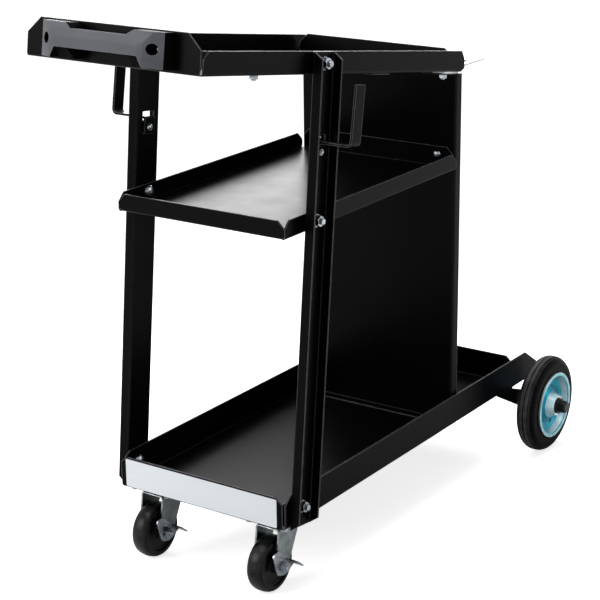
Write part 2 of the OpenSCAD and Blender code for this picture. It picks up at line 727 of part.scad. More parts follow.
// Tyre profile as [radius, distance outward from the inner face]
rim_r = rim_d / 2;
rim_t = 2.5;
lip = [2.4, rim_t];
rim_w = tyre_w + lip_out;
tyre_shoulder = 12.5;
groove = [2.6, 1.6];
module tyre_profile() difference() {
    polygon(rounded([
        [rim_r + run_gap, lip.y], [rim_r + run_gap, rim_w - lip.y],
        [rim_r + lip.x + 1, rim_w - lip.y], [rim_r + lip.x + 3, tyre_w, 1],
        [wheel_r, tyre_w, tyre_shoulder], [wheel_r, 0, tyre_shoulder], [rim_r + lip.x + 3, 0, 1],
        [rim_r + lip.x, lip.y]], 7));
    for (i = [1:3]) translate([wheel_r - groove.x, (tyre_w * i - 2 * groove.y) / 4]) square(groove + [1, 0]);
}
module tyre() on_axle() translate([0, 0, tyre_in]) rotate_extrude($fn = 96) tyre_profile();
module right_tyre() color(rubber) tyre();
module left_tyre() color(rubber) mirror([1, 0, 0]) tyre();

// Pressed rim: a barrel with a lip at its outer end, a deep dish that rises to a boss round the
// hub, and a shallow dish behind it. Dish profile as [radius, distance from the lip's face]
dish = [[rim_r, 0], [rim_r - 3, -2.5], [rim_r - 6.5, -11], [rim_r - 10, -14], [rim_r - 18, -14],
        [hub_r + 9, -7], [hub_r + 5, boss_out - 3], [hub_r + 3.5, boss_out], [hub_r + run_gap, boss_out]];
rear_dish = [for (p = dish) [p.x, p.y / 2]];
rim_hole_r = rim_r - 14;
module rim_profile() {
    translate([rim_r - rim_t, lip.y]) square([rim_t, rim_w - 2 * lip.y]);
    translate([rim_r - rim_t, rim_w - lip.y]) square([rim_t + lip.x, lip.y]);
    translate([0, rim_w]) polygon(strip(dish, rim_t));
    translate([0, lip.y]) mirror([0, 1]) polygon(strip(rear_dish, rim_t));
}
module rim() on_axle() translate([0, 0, tyre_in]) difference() {
    rotate_extrude($fn = 96) rim_profile();
    for (i = [0:rim_holes - 1]) rotate(i * 360 / rim_holes + 20)
        translate([rim_hole_r, 0, -1]) cylinder(d = 7, h = rim_w + 2);
}
module right_rim() color(rim_blue) rim();
module left_rim() color(rim_blue) mirror([1, 0, 0]) rim();

// Hub tube that turns on the axle
module hub() on_axle() translate([0, 0, hub_in]) difference() {
    rotate_extrude() polygon([[0, 0], [hub_r - 1, 0], [hub_r, 1], [hub_r, hub_out - hub_in - 1],
                              [hub_r - 1, hub_out - hub_in], [0, hub_out - hub_in]]);
    translate([0, 0, -1]) cylinder(r = axle_d / 2 + run_gap, h = hub_out - hub_in + 2);
}
module right_hub() color(black) hub();
module left_hub() color(black) mirror([1, 0, 0]) hub();

// ---- Casters ----

plate_t = 3;
race_r = 21;
race_h = 6;
pin_r = 6;
fork_t = 2.5;
crown_top = -plate_t - race_h - side_gap;
crown_r = fork_w / 2 + 4;
caster_r = caster_d / 2;
caster_axle_d = 8;
caster_axle = [-caster_trail, caster_r - ride_h];
fork_in = fork_w / 2 - fork_t;
caster_hub_w = 2 * (fork_in - side_gap);
brake_t = 2;
brake_in = fork_w / 2 + side_gap;
nut_in = brake_in + brake_t + side_gap;
axle_head_h = 5;
plate_hole = [caster_plate_w / 2 - 7, caster_plate_l / 2 - 7];

// Caster coordinates start on the swivel axis, at the tray's underside
module in_caster(side) place() translate([side * caster_x, caster_y, 0]) children();
module at_plate_bolts() for (x = [-1, 1], y = [-1, 1]) {
    translate([x * plate_hole.x, y * plate_hole.y, 0]) children();
}
module caster_bolt_holes(side) translate([side * caster_x, caster_y, 0]) at_plate_bolts()
    cylinder(d = m6[0] + 2 * bolt_gap, h = 4 * plate_t, center = true);

// Mounting plate with the upper race and the kingpin that holds the fork
module caster_plate(side) color(zinc) in_caster(side) {
    kingpin_end = crown_top - fork_t - side_gap;
    difference() {
        translate([0, 0, -plate_t]) linear_extrude(plate_t) polygon(rounded([
            [-caster_plate_w / 2, -caster_plate_l / 2, 6], [caster_plate_w / 2, -caster_plate_l / 2, 6],
            [caster_plate_w / 2, caster_plate_l / 2, 6], [-caster_plate_w / 2, caster_plate_l / 2, 6]]));
        at_plate_bolts() cylinder(d = m6[0] + 2 * bolt_gap, h = 4 * plate_t, center = true);
    }
    rotate_extrude() polygon([
        [0, -plate_t], [race_r, -plate_t], [race_r, -plate_t - 2], [race_r - 3, -plate_t - race_h],
        [pin_r, -plate_t - race_h], [pin_r, kingpin_end], [pin_r + 4, kingpin_end],
        [pin_r + 2, kingpin_end - 3], [0, kingpin_end - 3]]);
}

module caster_bolts(side) color(zinc) in_caster(side) at_plate_bolts() {
    translate([0, 0, sheet_t]) dome_bolt(m6, sheet_t + plate_t + m6[4] + 1);
    translate([0, 0, -plate_t]) mirror([0, 0, 1]) difference() {
        hex_nut(m6);
        cylinder(r = m6[0] / 2 + run_gap, h = m6[4]);
    }
}

// Fork: a crown over the wheel with a leg down each side
fork_bend = 6;
module caster_fork(side) color(zinc) in_caster(side) difference() {
    low = caster_axle.y;
    intersection() {
        along_x(fork_w) polygon(rounded([
            [-crown_r, crown_top, 3], [crown_r, crown_top, 3], [crown_r - 3, low + 40, 12],
            [caster_axle.x + 13, low - 12, 12], [caster_axle.x - 11, low - 12, 11],
            [caster_axle.x - 7, low + 26, 12], [-crown_r, crown_top - 8, 3]]));
        translate([0, -crown_r - caster_trail, 0]) along_y(2 * (crown_r + caster_trail)) difference() {
            polygon(rounded([
                [-fork_w / 2, low - 20], [fork_w / 2, low - 20], [fork_w / 2, crown_top, fork_bend],
                [-fork_w / 2, crown_top, fork_bend]]));
            polygon(rounded([
                [-fork_in, low - 21], [fork_in, low - 21],
                [fork_in, crown_top - fork_t, fork_bend - fork_t],
                [-fork_in, crown_top - fork_t, fork_bend - fork_t]]));
        }
    }
    cylinder(r = pin_r + run_gap, h = long, center = true);
    translate([0, caster_axle.x, caster_axle.y]) rotate([0, 90, 0])
        cylinder(d = caster_axle_d + 2 * run_gap, h = 2 * fork_w, center = true);
}

module on_caster_axle(side) in_caster(side) translate([0, caster_axle.x, caster_axle.y])
    rotate([0, 90, 0]) children();

// Axle bolt with its head on the left and its nut outside the brake
module caster_axle(side) color(zinc) on_caster_axle(side) {
    translate([0, 0, -fork_w / 2 - axle_head_h])
        cylinder(d = m8[3] / cos(30), h = axle_head_h, $fn = 6);
    translate([0, 0, -fork_w / 2 - 1]) cylinder(d = caster_axle_d, h = fork_w / 2 + 1 + nut_in + 1);
    translate([0, 0, nut_in]) cylinder(d = m8[3] / cos(30), h = m8[4], $fn = 6);
    translate([0, 0, nut_in + m8[4] - 1]) cylinder(d = caster_axle_d, h = 3.5);
}

tread_t = 6;
module caster_tread(side) color(rubber) on_caster_axle(side) rotate_extrude($fn = 72)
    polygon(rounded([
        [caster_r - tread_t + run_gap, -caster_tread_w / 2], [caster_r, -caster_tread_w / 2, 5],
        [caster_r, caster_tread_w / 2, 5], [caster_r - tread_t + run_gap, caster_tread_w / 2]]));

module caster_hub(side) color(grey) on_caster_axle(side) difference() {
    rotate_extrude($fn = 72) polygon(rounded([
        [0, -caster_hub_w / 2], [11, -caster_hub_w / 2, 1], [12, -caster_tread_w / 2 + 4, 1],
        [caster_r - tread_t - 4, -caster_tread_w / 2 + 4, 1],
        [caster_r - tread_t - 3, -caster_tread_w / 2], [caster_r - tread_t, -caster_tread_w / 2],
        [caster_r - tread_t, caster_tread_w / 2], [caster_r - tread_t - 3, caster_tread_w / 2],
        [caster_r - tread_t - 4, caster_tread_w / 2 - 4, 1], [12, caster_tread_w / 2 - 4, 1],
        [11, caster_hub_w / 2, 1], [0, caster_hub_w / 2]]));
    cylinder(d = caster_axle_d + 2 * run_gap, h = 2 * fork_w, center = true);
}

// Brake lever on the axle bolt: a plate beside the leg and a pedal bent outward
module caster_brake(side) color(zinc) in_caster(side) difference() {
    union() {
        translate([brake_in + brake_t / 2, 0, 0]) along_x(brake_t) polygon([
            for (p = rounded([[-22, 24, 5], [-8, 24, 5], [25, -3, 2], [25, -6, 2], [4, -14, 8],
                              [-12, -9, 9]])) caster_axle + p]);
        translate([brake_in + pedal_l / 2, 0, 0]) along_x(pedal_l) polygon([
            for (p = [[13, 6.8], [25, -3], [25, -5.4], [23.5, -4.2], [13, 4.3]]) caster_axle + p]);
    }
    translate([0, caster_axle.x, caster_axle.y]) rotate([0, 90, 0])
        cylinder(d = caster_axle_d + 2 * run_gap, h = 2 * fork_w + 2 * pedal_l, center = true);
}

module left_caster_plate() caster_plate(-1);
module left_caster_bolts() caster_bolts(-1);
module left_caster_fork() caster_fork(-1);
module left_caster_axle() caster_axle(-1);
module left_caster_hub() caster_hub(-1);
module left_caster_tread() caster_tread(-1);
module left_caster_brake() caster_brake(-1);
module right_caster_plate() caster_plate(1);
module right_caster_bolts() caster_bolts(1);
module right_caster_fork() caster_fork(1);
module right_caster_axle() caster_axle(1);
module right_caster_hub() caster_hub(1);
module right_caster_tread() caster_tread(1);
module right_caster_brake() caster_brake(1);

// ---- Assembly ----

bottom_tray();
label_plate();
left_upright();
right_upright();
middle_shelf();
back_panel();
top_tray();
tray_stiffener();
handle();
handle_screws();
handle_nuts();
cylinder_cradle();
left_cable_hook();
right_cable_hook();
hook_bolts();
hook_nuts();
upright_bolts();
upright_washers();
upright_nuts();
upright_spacers();
shelf_bolts();
shelf_nuts();
tray_bolts();
tray_nuts();
rear_axle();
axle_washers();
left_axle_cap();
right_axle_cap();
left_tyre();
left_rim();
left_hub();
right_tyre();
right_rim();
right_hub();
left_caster_plate();
left_caster_bolts();
left_caster_fork();
left_caster_axle();
left_caster_hub();
left_caster_tread();
left_caster_brake();
right_caster_plate();
right_caster_bolts();
right_caster_fork();
right_caster_axle();
right_caster_hub();
right_caster_tread();
right_caster_brake();
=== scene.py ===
# %% [markdown]
# # A three-tier welding cart
# The cart is folded from 2 mm sheet steel, sprayed with black powder and bolted together
# with zinc-plated fasteners. The CAD model already holds every part in its right place, in
# metres, with the ground at Z = 0. This lesson gives each part the finish of its real
# material, makes the handle and the caster treads anew because their solids are plainer
# than the real ones, and lights the cart in a white studio. We work round the CAD model and
# never move it.

# %% Load the frame
import json
import math
import bpy
import numpy as np
from mathutils import Matrix, Vector


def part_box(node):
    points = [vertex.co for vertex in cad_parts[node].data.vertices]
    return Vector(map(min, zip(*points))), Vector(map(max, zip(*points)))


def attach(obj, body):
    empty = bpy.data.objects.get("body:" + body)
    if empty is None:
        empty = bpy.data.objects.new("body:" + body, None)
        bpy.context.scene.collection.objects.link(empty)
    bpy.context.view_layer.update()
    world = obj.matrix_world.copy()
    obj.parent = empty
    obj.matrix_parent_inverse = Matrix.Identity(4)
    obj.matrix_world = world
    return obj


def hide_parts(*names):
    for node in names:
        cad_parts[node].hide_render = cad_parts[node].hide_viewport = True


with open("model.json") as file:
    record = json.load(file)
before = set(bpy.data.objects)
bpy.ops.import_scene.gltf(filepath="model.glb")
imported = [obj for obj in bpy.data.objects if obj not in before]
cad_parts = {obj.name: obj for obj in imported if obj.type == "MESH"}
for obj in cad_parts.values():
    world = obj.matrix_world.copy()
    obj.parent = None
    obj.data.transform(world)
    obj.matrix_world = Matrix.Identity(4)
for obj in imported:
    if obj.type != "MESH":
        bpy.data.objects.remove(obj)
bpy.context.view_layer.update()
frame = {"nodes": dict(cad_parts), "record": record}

nodes = frame["nodes"]
MM = 0.001

# %% [markdown]
# ## The camera
# A product shot is taken with a long lens from a few paces away, so that parallel edges stay
# nearly parallel. A camera could be aimed with a constraint, but then its roll is lost. We
# give it its place and its three turns: yaw about the vertical, pitch below the horizon and
# a slight roll. From these come the directions of its right, its up and its line of sight,
# which are the columns of its matrix.

# %% Camera
FOCAL_PX, IMAGE_PX, SENSOR_MM = 1819.6, 600, 36
EYE = Vector((1.372757, -2.034864, 1.116988))
YAW, PITCH, ROLL = (math.radians(a) for a in (34.5085, -18.0416, -0.6530))


def camera_axes(yaw, pitch, roll):
    """Right, up and sight: sight is turned by yaw from +Y and by pitch from level, and roll
    turns right and up about it."""
    sight = Vector((-math.sin(yaw) * math.cos(pitch), math.cos(yaw) * math.cos(pitch),
                    math.sin(pitch)))
    level = sight.cross(Vector((0, 0, 1))).normalized()
    above = level.cross(sight)
    right = level * math.cos(roll) + above * math.sin(roll)
    return right, above * math.cos(roll) - level * math.sin(roll), sight


right, up, sight = camera_axes(YAW, PITCH, ROLL)
camera = bpy.data.objects.new("camera", bpy.data.cameras.new("camera"))
camera.data.sensor_width = SENSOR_MM
camera.data.lens = FOCAL_PX * SENSOR_MM / IMAGE_PX
camera.matrix_world = Matrix.Translation(EYE) @ Matrix((right, up, -sight)).transposed().to_4x4()
bpy.context.scene.collection.objects.link(camera)
bpy.context.scene.camera = camera
print("lens", round(camera.data.lens, 1), "mm")

# %% [markdown]
# ## Colours and nodes
# Paint makers give colours as sRGB values, as on a screen, and a renderer counts light, which
# is linear. One function turns the first into the second. A material could be wired by hand
# in the shader editor. In a script it reads best as nested calls, so one more function adds
# a node with its settings and its links and hands back the output that feeds the next node.

# %% Paint and nodes


def paint(code):
    """An sRGB code such as 1b1c1e as linear red, green, blue and alpha: below 0.04045 a value
    is divided by 12.92, above it is ((v + 0.055) / 1.055) to the power of 2.4."""
    parts = [int(code[i:i + 2], 16) / 255 for i in (0, 2, 4)]
    return (*(v / 12.92 if v <= 0.04045 else ((v + 0.055) / 1.055) ** 2.4 for v in parts), 1.0)


def add(tree, kind, inputs=None, out=0, **settings):
    """Adds a shader node with its settings. Each input, by name or number, gets a value or is
    fed by a socket. Hands back one of its outputs, the first unless out names another."""
    node = tree.nodes.new("ShaderNode" + kind)
    for key, value in settings.items():
        setattr(node, key, value)
    for key, value in (inputs or {}).items():
        if isinstance(value, bpy.types.NodeSocket):
            tree.links.new(value, node.inputs[key])
        else:
            node.inputs[key].default_value = value
    return node.outputs[out] if node.outputs else None


# The Mix node's settings for colours: the share goes into 0 and the colours into 6 and 7
COLOURS = {"out": 2, "data_type": "RGBA"}
print("black of the powder:", [round(v, 4) for v in paint("060607")])

# %% Start and end of a finish


def start_finish(name):
    """An empty material, its node tree, and the point in the part's own space."""
    made = bpy.data.materials.new(name)
    made.use_nodes = True
    made.node_tree.nodes.clear()
    return made, made.node_tree, add(made.node_tree, "TexCoord", out="Object")


def end_finish(tree, values):
    """Closes a material with one principled shader of these values."""
    add(tree, "OutputMaterial", {"Surface": add(tree, "BsdfPrincipled", values)})


finishes = {}
print(len(finishes), "finishes so far")

# %% [markdown]
# ## Patterns that every finish shares
# Nothing is the same all over: paint clouds and plating stains, and a fold shows brighter
# than a flat, which is a painted highlight. Clouds could be painted on an image. Noise in the
# part's own space needs no unwrapping and has a size in millimetres, so we use that. The
# edges of the solids are sharp, while real ones are rounded, and the Bevel node bends the
# normal near an edge without touching the mesh. Where it turns away from the true normal, a
# finish paints its edge tint: a painted highlight on most finishes, and a painted dark line
# on the sheared and pressed zinc.

# %% Grain, edges and facing
MIDDLE = (0.3, 0.7)  # where most of the values of a noise lie


def grain(tree, point, size_mm, detail, low=0.0, high=1.0, middle=(0.0, 1.0),
          stretch=(1, 1, 1)):
    """Noise whose blots are about size_mm across, longer along a stretched axis. Its values
    between the two of middle are drawn out to low and high."""
    placed = add(tree, "Mapping", {"Vector": point, "Scale": [1 / s for s in stretch]})
    noise = add(tree, "TexNoise", {"Vector": placed, "Scale": 1 / (size_mm * MM),
                                   "Detail": detail, "Roughness": 0.55})
    return add(tree, "MapRange", {"Value": noise, "From Min": middle[0],
                                  "From Max": middle[1], "To Min": low, "To Max": high})


def on_edges(tree, soft):
    """1 on a rounded edge and 0 on a flat: the cosine between the soft normal and the true
    one, read from 0.75 to 1."""
    true = add(tree, "NewGeometry", out="Normal")
    along = add(tree, "VectorMath", {0: soft, 1: true}, "Value", operation="DOT_PRODUCT")
    return add(tree, "MapRange", {"Value": along, "From Min": 0.75, "From Max": 1.0,
                                  "To Min": 1.0, "To Max": 0.0})


def along_axle(tree):
    """1 on faces square to the axle, which lies along X, and 0 on faces turned from it."""
    part = add(tree, "SeparateXYZ", {0: add(tree, "TexCoord", out="Normal")}, "X")
    return add(tree, "Math", {0: part}, operation="ABSOLUTE")


print("noise is read from", MIDDLE[0], "to", MIDDLE[1])

# %% [markdown]
# ## Semi-gloss black powder coat
# Dry polyester powder is sprayed on the folded sheet and baked, and it flows into a smooth
# skin with a faint orange peel, a ripple some millimetres across. Steep on, it looks almost
# black, and at a low angle it mirrors the room in a soft blur. Cut edges and folds get a
# light line in places, a painted highlight for the room that their rounding would mirror. A
# plain black with a high gloss would lose the blur, so we keep the mirror weak and the
# roughness near 0.3. Real orange peel is about 1 to 3 mm from crest to crest, and ours is
# 4 mm, as coarse as it has to be to show.

# %% Powder coat


def powder_coat(name):
    """Black polyester powder: dark body, weak mirror, rippled skin, painted edge highlights in
    places.
    """
    made, tree, point = start_finish(name)
    soft = add(tree, "Bevel", {"Radius": 1.4 * MM}, samples=6)
    body = add(tree, "Mix", {0: grain(tree, point, 60, 3), 6: paint("020203"),
                             7: paint("060607")}, **COLOURS)
    # Painted highlight: rounded edges turn light a09fa8, in patches.
    edge_highlight = add(tree, "Math", {0: on_edges(tree, soft),
                              1: grain(tree, point, 9, 2, 0.55, 1.0, MIDDLE)},
               operation="MULTIPLY")
    end_finish(tree, {
        "Base Color": add(tree, "Mix", {0: edge_highlight, 6: body, 7: paint("a09fa8")}, **COLOURS),
        "Roughness": grain(tree, point, 35, 4, 0.285, 0.335, MIDDLE),
        "IOR": 1.5, "Specular IOR Level": 0.036,
        "Normal": add(tree, "Bump", {"Height": grain(tree, point, 4, 2),
                                     "Distance": 0.02 * MM, "Normal": soft})})
    return made


finishes["black_steel"] = powder_coat("black_powder_coat")
print(finishes["black_steel"].name)

# %% [markdown]
# ## Zinc plate
# Bolts, nuts, the axle, the caster forks and the cylinder cradle are plated in a barrel of
# zinc salts and passivated clear. That leaves a bright, slightly blue metal with cloudy
# patches and fine scuffs from tumbling. A metal takes its colour from its mirror, so the
# pattern goes into the base colour and the roughness. Small bright parts next to black
# steel look pasted on unless their corners are shaded, so the Ambient Occlusion node finds
# those corners on any shape and darkens them with painted shade. Their edges get a painted
# edge tint.

# %% Zinc
PAINTED_SHADE_MM = 25  # how near other steel has to be for painted shade to fall in the corners


def zinc_plate(name, light, dark, painted_edge_tint, rough, cloud_mm):
    """Zinc whose tint and roughness drift over cloud_mm, with painted shade in corners and a
    painted edge tint.
    """
    made, tree, point = start_finish(name)
    soft = add(tree, "Bevel", {"Radius": 0.35 * MM}, samples=6)
    cloud = grain(tree, point, cloud_mm, 4, middle=MIDDLE)
    metal = add(tree, "Mix", {0: cloud, 6: paint(light), 7: paint(dark)}, **COLOURS)
    # Painted shade: near other steel the colour goes to dark 16181a.
    open_air = add(tree, "AmbientOcclusion", {"Distance": PAINTED_SHADE_MM * MM}, "AO", samples=4)
    unshaded = add(tree, "MapRange", {"Value": open_air, "From Min": 0.25, "From Max": 0.85})
    body = add(tree, "Mix", {0: unshaded, 6: paint("16181a"), 7: metal}, **COLOURS)
    scuffs = grain(tree, point, 1.2, 3, stretch=(1, 1, 5))
    # Painted edge tint: rounded edges turn to it.
    end_finish(tree, {
        "Base Color": add(tree, "Mix", {0: on_edges(tree, soft), 6: body,
                                        7: paint(painted_edge_tint)}, **COLOURS),
        "Metallic": 1.0,
        "Roughness": add(tree, "MapRange", {"Value": cloud, "To Min": rough - 0.06,
                                            "To Max": rough + 0.08}),
        "Normal": add(tree, "Bump", {"Height": scuffs, "Distance": 0.008 * MM,
                                     "Normal": soft})})
    return made


# The edge tints are painted: a highlight on the bright zinc, and a dark line on the sheared and
# pressed zinc for the dark cart that their cut edges would mirror.
finishes["zinc"] = zinc_plate("bright_zinc", "b9c0c5", "8e969c", "e6ebee", 0.26, 9)
finishes["sheared_zinc"] = zinc_plate("sheared_zinc_plate", "c9cdd1", "aab0b5", "4a4e52",
                                      0.32, 22)
finishes["pressed_zinc"] = zinc_plate("pressed_zinc", "a3abab", "7b8486", "3c4043", 0.3, 14)
print([m.name for m in finishes.values()])

# %% [markdown]
# ## Blue zinc of the rims
# The pressed rims get a blue passivation, teal on the dish. The deeper teal rings of the dish
# are painted shade, and the near-white of the lip and the boss is a painted reflection of the
# white room. The dish could be cut into zones with a material each, but the tint has no
# sharp borders. So it follows the distance from the axle, on a colour ramp with its steps in
# millimetres, and turns pale where the metal turns away from the axle, which is a painted
# reflection too.

# %% Rim finish
RIM_MM = 60
# Steps in mm from the axle: the teal of the passivation, deeper in the rings as painted shade,
# near white at the boss and the lip as painted reflection.
RIM_TINT_SHADE_AND_REFLECTION = [(0, "e6eef0"), (14, "e6eef0"), (17, "5fb0c0"), (22, "1a7c92"), (31, "23889c"),
             (38, "3796aa"), (43, "23899e"), (47.5, "8fc8d4"), (RIM_MM, "e2eef0")]


def rim_zinc(name, wheel):
    """Blue zinc whose tint, with painted shade and reflection, is read from a ramp over the
    distance r = |(y, z) - axle|.
    """
    made, tree, point = start_finish(name)
    low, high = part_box(wheel)
    centre = (low + high) / 2
    flat = add(tree, "Mapping", {"Vector": point, "Location": (0, -centre.y, -centre.z),
                                 "Scale": (0, 1, 1)})
    far = add(tree, "VectorMath", {0: flat}, "Value", operation="LENGTH")
    dish = add(tree, "ValToRGB", {"Fac": add(tree, "MapRange", {
        "Value": far, "From Max": RIM_MM * MM})})
    steps = dish.node.color_ramp.elements
    steps[0].color, steps[1].color = paint(RIM_TINT_SHADE_AND_REFLECTION[0][1]), paint(RIM_TINT_SHADE_AND_REFLECTION[-1][1])
    for at, tint in RIM_TINT_SHADE_AND_REFLECTION[1:-1]:
        steps.new(at / RIM_MM).color = paint(tint)
    cloud = grain(tree, point, 11, 4, middle=MIDDLE)
    film = add(tree, "Mix", {0: add(tree, "MapRange", {"Value": cloud, "To Max": 0.45}),
                             6: dish, 7: paint("155e70")}, **COLOURS)
    # Painted reflection: where the metal turns from the axle, the tint goes to pale e6ecee.
    painted_reflection_share = add(tree, "MapRange", {"Value": along_axle(tree), "From Min": 0.15,
                                    "From Max": 0.75, "To Min": 0.25, "To Max": 1.0})
    soft = add(tree, "Bevel", {"Radius": 0.5 * MM}, samples=6)
    end_finish(tree, {
        "Base Color": add(tree, "Mix", {0: painted_reflection_share, 6: paint("e6ecee"), 7: film}, **COLOURS),
        "Metallic": 1.0,
        "Roughness": add(tree, "MapRange", {"Value": cloud, "To Min": 0.28, "To Max": 0.4}),
        "Normal": add(tree, "Bump", {"Height": grain(tree, point, 3, 3),
                                     "Distance": 0.02 * MM, "Normal": soft})})
    return made


finishes["rim_zinc"] = rim_zinc("blue_zinc", "right_rim")
print(finishes["rim_zinc"].name)

# %% [markdown]
# ## Tyre and caster rubber
# The tyres and the caster treads are vulcanised rubber, black with carbon. Rubber is rough
# and mirrors little, and the part that rolls on the floor is lighter: grey with dust, and
# lighter still with a painted highlight for the light that falls on it. A separate material
# for the rolling faces would show a seam, so the dust and the painted highlight fade in as a
# face turns away from the axle. The pores of the skin are drawn at 1.5 mm so that they show.

# %% Rubber


def rubber(name, clouds, dust_and_highlight, rough, shine):
    """Carbon-black rubber. Clouds, and the dust with its painted highlight, are each a dark and a
    light sRGB code.
    """
    made, tree, point = start_finish(name)
    soft = add(tree, "Bevel", {"Radius": 0.5 * MM}, samples=6)
    cloud = grain(tree, point, 12, 5, middle=(0.35, 0.75))
    body, dust_and_highlight_tint = (add(tree, "Mix", {0: cloud, 6: paint(dark), 7: paint(light)}, **COLOURS)
                   for dark, light in (clouds, dust_and_highlight))
    rolled = add(tree, "MapRange", {"Value": along_axle(tree), "From Min": 0.25,
                                    "From Max": 0.7, "To Min": 1.0, "To Max": 0.0})
    end_finish(tree, {
        "Base Color": add(tree, "Mix", {0: rolled, 6: body, 7: dust_and_highlight_tint}, **COLOURS),
        "Roughness": add(tree, "MapRange", {"Value": cloud, "To Min": rough,
                                            "To Max": rough + 0.15}),
        "IOR": 1.52, "Specular IOR Level": shine,
        "Normal": add(tree, "Bump", {"Height": grain(tree, point, 1.5, 3),
                                     "Distance": 0.05 * MM, "Normal": soft})})
    return made


# The second pair of each is the rolling face: dust with a painted highlight.
finishes["rubber"] = rubber("tyre_rubber", ("040405", "0b0a0c"), ("38383a", "525254"),
                            0.36, 0.025)
finishes["caster_rubber"] = rubber("caster_rubber", ("040405", "070708"),
                                   ("040405", "242426"), 0.26, 0.15)
print(finishes["rubber"].name, finishes["caster_rubber"].name)

# %% [markdown]
# ## Moulded plastics
# The handle is glass-filled nylon, grey all through, with the fine eroded grain of its
# mould. The caster hubs, the axle caps and the wheel hubs are black polypropylene. The
# pockets, the hollow of the handle and its faces that look sideways get a matt black of
# their own, which is painted shade. Plastic keeps its colour under the shine, and its edges
# get a lighter painted highlight. One function makes all four, because they differ in their
# colours and their grain alone.

# %% Plastics


def moulded(name, colours, rough, grain_mm, depth_mm, shine=0.2):
    """Moulded plastic with slight flow marks, eroded grain and a painted highlight on the
    edges. The colours are the sRGB codes of the base, of the flow marks and of the painted
    edge highlight."""
    made, tree, point = start_finish(name)
    base, cloudy, painted_edge_tint = (paint(code) for code in colours)
    soft = add(tree, "Bevel", {"Radius": 0.7 * MM}, samples=6)
    flow = grain(tree, point, 25, 3, middle=MIDDLE, stretch=(4, 1, 1))
    body = add(tree, "Mix", {0: flow, 6: base, 7: cloudy}, **COLOURS)
    # Painted highlight: rounded edges turn to the lighter edge tint.
    end_finish(tree, {
        "Base Color": add(tree, "Mix", {0: on_edges(tree, soft), 6: body, 7: painted_edge_tint},
                          **COLOURS),
        "Roughness": add(tree, "MapRange", {"Value": flow, "To Min": rough,
                                            "To Max": rough + 0.08}),
        "IOR": 1.5, "Specular IOR Level": shine,
        "Normal": add(tree, "Bump", {"Height": grain(tree, point, grain_mm, 2),
                                     "Distance": depth_mm * MM, "Normal": soft})})
    return made


finishes["grey_plastic"] = moulded("glass_filled_nylon", ("5a5c60", "4b4d51", "8f9195"),
                                   0.48, 1.3, 0.04)
finishes["caster_hub"] = moulded("hub_polypropylene", ("0e0e10", "0a0a0b", "2c2c30"),
                                 0.32, 2.0, 0.02)
# Painted shade: a matt black for the pockets, the hollow and the sideways faces of the handle.
finishes["recess"] = moulded("sooty_recess", ("040405", "060607", "0c0c0e"),
                             0.7, 2.0, 0.02, shine=0.02)
finishes["black_plastic"] = moulded("cap_polypropylene", ("060607", "0b0b0c", "242428"),
                                    0.28, 2.0, 0.02)
print([m.name for m in finishes.values()])

# %% [markdown]
# ## The bare plate
# The front wall carries a thin plate of brushed and clear-anodised aluminium, left blank.
# An anisotropic metal would be the textbook way to brush it, but the anodic film scatters
# the light to a pale silver-white, so a mostly diffuse surface comes nearer. The brushing
# runs along the plate, so the noise is stretched along X.

# %% Plate


def brushed_plate(name):
    """Brushed anodised aluminium: a pale film over long fine lines."""
    made, tree, point = start_finish(name)
    lines = grain(tree, point, 0.8, 3, stretch=(120, 1, 1))
    end_finish(tree, {
        "Base Color": add(tree, "Mix", {0: lines, 6: paint("dde1e4"), 7: paint("cdd2d6")},
                          **COLOURS),
        "Metallic": 0.25,
        "Roughness": add(tree, "MapRange", {"Value": lines, "To Min": 0.42,
                                            "To Max": 0.55}),
        "Normal": add(tree, "Bump", {"Height": lines, "Distance": 0.01 * MM})})
    return made


finishes["silver_plate"] = brushed_plate("brushed_anodised_aluminium")
print(finishes["silver_plate"].name)

# %% [markdown]
# ## Who wears what
# The record names a material slot for each part. Giving each part its finish by hand would
# take 48 lines, so we look the slot up and take the finish of that name. A few parts have a
# finish of their own: the caster hubs are black, the forks are pressed, and the cradle is
# sheared from pale sheet.

# %% Dress the CAD parts
OWN_FINISH = {"left_caster_hub": "caster_hub", "right_caster_hub": "caster_hub",
              "left_caster_fork": "pressed_zinc", "right_caster_fork": "pressed_zinc",
              "cylinder_cradle": "sheared_zinc"}
slots = {part["node"]: part["material_slot"] for part in frame["record"]["subparts"]}
for name, piece in nodes.items():
    piece.data.materials.clear()
    piece.data.materials.append(finishes[OWN_FINISH.get(name, slots[name])])
print(len(slots), "parts dressed")

# %% [markdown]
# ## The handle
# The handle is one open-backed moulding: two end blocks, screwed on through deep pockets, and
# a grip between them with a gap for the fingers behind it and a hollow below. It could be
# joined from boxes with Boolean cuts, but then each bend is a joint that may leak. Instead
# its front is a field of depths over the tray's X and Z. Four rules make it: the line seen
# from above, the line seen from the side, the gussets in the corners of the hollow, and two
# round pockets. A second field is its back, and a rim closes the two. The cells between
# the blocks and below the grip are left out. All of it is reckoned in mm, in the tilted axes
# of the top tray, with Y running to the rear.

# %% Depth of the handle's front
HALF_W = 91.5  # half of the whole width
LOW_MM, GRIP_LOW, GRIP_TOP, TOP_MM = 4.0, 17.0, 39.5, 46.1  # heights: hollow, grip, blocks
GAP_X, GRIP_BACK = 45.0, -15.0  # where the finger gap ends, and the back of the grip
SLOPE_X, LEAST_RISE = (41.5, 51.0), 0.3  # the blocks rise from the grip between these
CHEEK_X, CHEEK_LEAN = 62.0, 7  # end of the hollow at the grip, and how it widens below
POCKET_X, POCKET_Z, POCKET_R, POCKET_Y = 79.5, 26.0, 6.8, -12.0
GUSSET_Y, GUSSET_LEAN = -28, 1.2  # front of the gussets at the grip, and their lean
